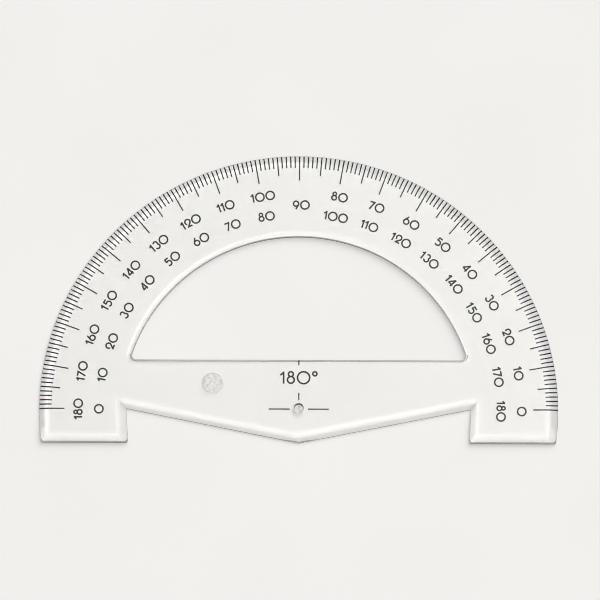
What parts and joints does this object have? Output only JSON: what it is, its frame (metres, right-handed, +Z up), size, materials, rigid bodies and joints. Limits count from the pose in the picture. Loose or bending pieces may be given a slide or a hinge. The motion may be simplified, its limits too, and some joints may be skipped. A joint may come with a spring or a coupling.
{
  "type": "protractor",
  "caption": "Flat half-circle protractor in clear plastic, with a bevelled edge, a half-moon window, feet beside a V-shaped base and a printed degree scale.",
  "frame": {"origin": "centre of the degree scale, on the underside that lies on the paper", "axes": "+X towards the outer scale's 0, +Y towards 90, +Z up out of the printed underside through the bevelled top"},
  "size_m": [0.12, 0.068, 0.0018],
  "materials": {
    "clear_plastic": "clear, colourless and polished, as moulded",
    "black_ink": "matt black printing ink"
  },
  "bodies": {
    "root": {"blade": "clear_plastic", "mark_000_deg": "black_ink", "mark_005_deg": "black_ink", "mark_010_deg": "black_ink", "mark_015_deg": "black_ink", "mark_020_deg": "black_ink", "mark_025_deg": "black_ink", "mark_030_deg": "black_ink", "mark_035_deg": "black_ink", "mark_040_deg": "black_ink", "mark_045_deg": "black_ink", "mark_050_deg": "black_ink", "mark_055_deg": "black_ink", "mark_060_deg": "black_ink", "mark_065_deg": "black_ink", "mark_070_deg": "black_ink", "mark_075_deg": "black_ink", "mark_080_deg": "black_ink", "mark_085_deg": "black_ink", "mark_090_deg": "black_ink", "mark_095_deg": "black_ink", "mark_100_deg": "black_ink", "mark_105_deg": "black_ink", "mark_110_deg": "black_ink", "mark_115_deg": "black_ink", "mark_120_deg": "black_ink", "mark_125_deg": "black_ink", "mark_130_deg": "black_ink", "mark_135_deg": "black_ink", "mark_140_deg": "black_ink", "mark_145_deg": "black_ink", "mark_150_deg": "black_ink", "mark_155_deg": "black_ink", "mark_160_deg": "black_ink", "mark_165_deg": "black_ink", "mark_170_deg": "black_ink", "mark_175_deg": "black_ink", "mark_180_deg": "black_ink", "cross_hair_left": "black_ink", "cross_hair_right": "black_ink", "cross_hair_upper": "black_ink", "index_under_window": "black_ink"}
  },
  "joints": []
}
